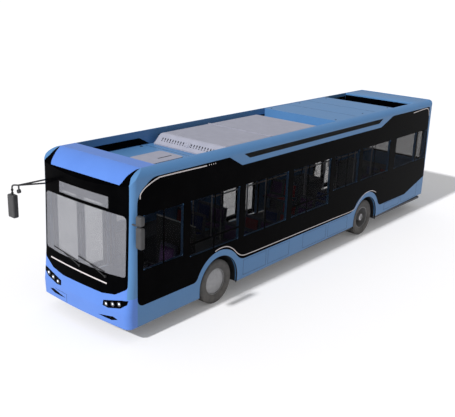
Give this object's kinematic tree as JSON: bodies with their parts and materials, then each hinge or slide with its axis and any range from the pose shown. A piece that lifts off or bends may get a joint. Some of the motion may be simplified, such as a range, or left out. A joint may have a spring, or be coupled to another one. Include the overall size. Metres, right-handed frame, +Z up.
{
  "type": "low floor city bus",
  "caption": "Rigid low floor electric city bus with black glazing bands, roof units behind side fairings, in-swinging double doors, steered front wheels and twin rear wheels.",
  "frame": {"origin": "on the ground under the middle of the overall box", "axes": "+Z up, -Y to the front of the bus, +X to its street side (the bus's left), doors on -X"},
  "size_m": [3, 12.5, 3.2799],
  "materials": {
    "body_blue": "gloss paint",
    "black_gloss": "black glazing band",
    "tinted_glass": "tinted",
    "clear_glass": "clear",
    "roof_blue": "satin paint",
    "unit_grey": "satin grey",
    "hatch_grey": "moulded",
    "lamp_black": "lamp housing",
    "lens": "clear lens",
    "red_lens": "red lens",
    "floor_covering": "speckled covering",
    "chassis": "matt black",
    "cast_steel": "rough",
    "tyre": "rubber",
    "rim_steel": "silver paint",
    "seat_shell": "moulded",
    "rail_steel": "handrail coating",
    "trim_black": "grained"
  },
  "bodies": {
    "body": {"side_wall_left": "body_blue", "side_wall_right": "body_blue", "glazing_bands": "black_gloss", "side_windows": "tinted_glass", "front_fascia": "body_blue", "windshield_mask": "black_gloss", "windshield": "clear_glass", "headlamps": "lamp_black", "headlamp_lenses": "lens", "front_roof_cap": "roof_blue", "roof_fairings": "roof_blue", "fairing_grilles": "trim_black", "roof_deck": "roof_blue", "ac_unit": "unit_grey", "roof_cover": "roof_blue", "rear_wall": "body_blue", "rear_window": "tinted_glass", "tail_lamps": "red_lens", "floor": "floor_covering", "raised_floor": "floor_covering", "drive_block": "chassis", "underframe": "chassis", "front_axle_beam": "cast_steel", "rear_axle": "cast_steel", "door_headers": "trim_black", "seats": "seat_shell", "handrails": "rail_steel", "driver_console": "trim_black", "steering_wheel": "trim_black", "mirrors": "trim_black"},
    "hatch": {"roof_hatch_lid": "hatch_grey"},
    "drive_bay_lid": {"rear_lid": "body_blue"},
    "knuckle_left": {"knuckle_left": "cast_steel"},
    "wheel_front_left": {"tyre_front_left": "tyre", "rim_front_left": "rim_steel"},
    "knuckle_right": {"knuckle_right": "cast_steel"},
    "wheel_front_right": {"tyre_front_right": "tyre", "rim_front_right": "rim_steel"},
    "wheel_rear_left": {"tyre_rear_left": "tyre", "rim_rear_left": "rim_steel"},
    "wheel_rear_right": {"tyre_rear_right": "tyre", "rim_rear_right": "rim_steel"},
    "front_door_arm_1": {"front_door_post_1": "trim_black"},
    "front_door_leaf_1": {"front_door_leaf_1": "black_gloss", "front_door_pane_1": "tinted_glass"},
    "front_door_arm_2": {"front_door_post_2": "trim_black"},
    "front_door_leaf_2": {"front_door_leaf_2": "black_gloss", "front_door_pane_2": "tinted_glass"},
    "middle_door_arm_1": {"middle_door_post_1": "trim_black"},
    "middle_door_leaf_1": {"middle_door_leaf_1": "black_gloss", "middle_door_pane_1": "tinted_glass"},
    "middle_door_arm_2": {"middle_door_post_2": "trim_black"},
    "middle_door_leaf_2": {"middle_door_leaf_2": "black_gloss", "middle_door_pane_2": "tinted_glass"},
    "rear_door_arm_1": {"rear_door_post_1": "trim_black"},
    "rear_door_leaf_1": {"rear_door_leaf_1": "black_gloss", "rear_door_pane_1": "tinted_glass"},
    "rear_door_arm_2": {"rear_door_post_2": "trim_black"},
    "rear_door_leaf_2": {"rear_door_leaf_2": "black_gloss", "rear_door_pane_2": "tinted_glass"}
  },
  "joints": [
    {"name": "steer_left", "type": "hinge", "parent": "body", "child": "knuckle_left", "pos_m": [0.9, -3.18, 0.478], "axis": [0, 0, 1], "range_deg": [-45, 45]},
    {"name": "steer_right", "type": "hinge", "parent": "body", "child": "knuckle_right", "pos_m": [-0.9, -3.18, 0.478], "axis": [0, 0, 1], "range_deg": [-45, 45]},
    {"name": "spin_front_left", "type": "hinge", "parent": "knuckle_left", "child": "wheel_front_left", "pos_m": [1.0625, -3.18, 0.478], "axis": [1, 0, 0], "continuous": true},
    {"name": "spin_front_right", "type": "hinge", "parent": "knuckle_right", "child": "wheel_front_right", "pos_m": [-1.0625, -3.18, 0.478], "axis": [1, 0, 0], "continuous": true},
    {"name": "spin_rear_left", "type": "hinge", "parent": "body", "child": "wheel_rear_left", "pos_m": [0.9075, 2.77, 0.478], "axis": [1, 0, 0], "continuous": true},
    {"name": "spin_rear_right", "type": "hinge", "parent": "body", "child": "wheel_rear_right", "pos_m": [-0.9075, 2.77, 0.478], "axis": [1, 0, 0], "continuous": true},
    {"name": "roof_hatch", "type": "hinge", "parent": "body", "child": "hatch", "pos_m": [0, -4.199, 2.9793], "axis": [1, 0, 0], "range_deg": [0, 60]},
    {"name": "drive_bay_lid", "type": "hinge", "parent": "body", "child": "drive_bay_lid", "pos_m": [0, 6.25, 1.336], "axis": [1, 0, 0], "range_deg": [0, 80]},
    {"name": "front_door_1", "type": "hinge", "parent": "body", "child": "front_door_arm_1", "pos_m": [-1.17, -5.435, 1.4], "axis": [0, 0, -1], "range_deg": [0, 76]},
    {"name": "front_leaf_1", "type": "hinge", "parent": "front_door_arm_1", "child": "front_door_leaf_1", "pos_m": [-1.17, -5.094, 1.4], "axis": [0, 0, -1], "range_deg": [-152, 0]},
    {"name": "front_door_2", "type": "hinge", "parent": "body", "child": "front_door_arm_2", "pos_m": [-1.17, -3.975, 1.4], "axis": [0, 0, 1], "range_deg": [0, 76]},
    {"name": "front_leaf_2", "type": "hinge", "parent": "front_door_arm_2", "child": "front_door_leaf_2", "pos_m": [-1.17, -4.316, 1.4], "axis": [0, 0, 1], "range_deg": [-152, 0]},
    {"name": "middle_door_1", "type": "hinge", "parent": "body", "child": "middle_door_arm_1", "pos_m": [-1.17, -0.2954, 1.4], "axis": [0, 0, -1], "range_deg": [0, 76]},
    {"name": "middle_leaf_1", "type": "hinge", "parent": "middle_door_arm_1", "child": "middle_door_leaf_1", "pos_m": [-1.17, 0.0656, 1.4], "axis": [0, 0, -1], "range_deg": [-152, 0]},
    {"name": "middle_door_2", "type": "hinge", "parent": "body", "child": "middle_door_arm_2", "pos_m": [-1.17, 1.2446, 1.4], "axis": [0, 0, 1], "range_deg": [0, 76]},
    {"name": "middle_leaf_2", "type": "hinge", "parent": "middle_door_arm_2", "child": "middle_door_leaf_2", "pos_m": [-1.17, 0.8836, 1.4], "axis": [0, 0, 1], "range_deg": [-152, 0]},
    {"name": "rear_door_1", "type": "hinge", "parent": "body", "child": "rear_door_arm_1", "pos_m": [-1.17, 3.9046, 1.4], "axis": [0, 0, -1], "range_deg": [0, 76]},
    {"name": "rear_leaf_1", "type": "hinge", "parent": "rear_door_arm_1", "child": "rear_door_leaf_1", "pos_m": [-1.17, 4.1956, 1.4], "axis": [0, 0, -1], "range_deg": [-152, 0]},
    {"name": "rear_door_2", "type": "hinge", "parent": "body", "child": "rear_door_arm_2", "pos_m": [-1.17, 5.1646, 1.4], "axis": [0, 0, 1], "range_deg": [0, 76]},
    {"name": "rear_leaf_2", "type": "hinge", "parent": "rear_door_arm_2", "child": "rear_door_leaf_2", "pos_m": [-1.17, 4.8736, 1.4], "axis": [0, 0, 1], "range_deg": [-152, 0]}
  ],
  "couplings": [
    {"joint": "steer_right", "follows": "steer_left", "ratio": 1},
    {"joint": "front_leaf_1", "follows": "front_door_1", "ratio": -2},
    {"joint": "front_door_2", "follows": "front_door_1", "ratio": 1},
    {"joint": "front_leaf_2", "follows": "front_door_1", "ratio": -2},
    {"joint": "middle_leaf_1", "follows": "middle_door_1", "ratio": -2},
    {"joint": "middle_door_2", "follows": "middle_door_1", "ratio": 1},
    {"joint": "middle_leaf_2", "follows": "middle_door_1", "ratio": -2},
    {"joint": "rear_leaf_1", "follows": "rear_door_1", "ratio": -2},
    {"joint": "rear_door_2", "follows": "rear_door_1", "ratio": 1},
    {"joint": "rear_leaf_2", "follows": "rear_door_1", "ratio": -2}
  ]
}
